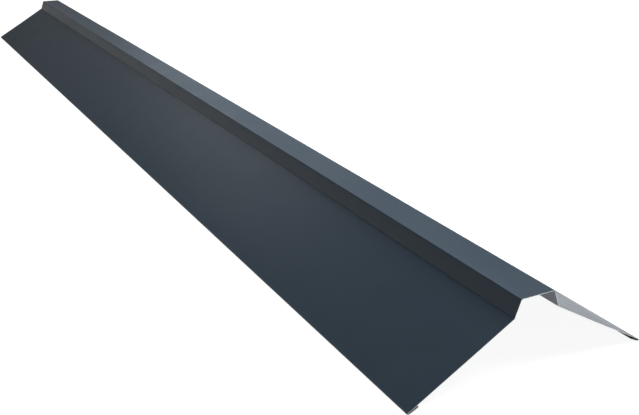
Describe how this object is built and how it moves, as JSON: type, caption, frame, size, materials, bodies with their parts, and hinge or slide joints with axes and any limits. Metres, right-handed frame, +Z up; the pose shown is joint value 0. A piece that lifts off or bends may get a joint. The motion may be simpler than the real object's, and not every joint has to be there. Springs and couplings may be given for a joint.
{
  "type": "roof ridge cap",
  "caption": "Folded sheet-metal roof ridge cap: a flat raised crown on steep risers, with wide sloping wings that end in folded-back safety hems.",
  "frame": {"origin": "middle of the length and of the width, on the level floor that the hem folds stand on", "axes": "+X along the ridge, +Y across it, +Z up; the section is the same from end to end and mirrored about the XZ plane"},
  "size_m": [2, 0.285, 0.0873],
  "materials": {
    "coated_steel": "satin dark blue-grey polyester coating on top, light grey backing coat beneath, bare zinc and steel on the cut edges"
  },
  "bodies": {
    "root": {"ridge_cap_sheet": "coated_steel"}
  },
  "joints": []
}
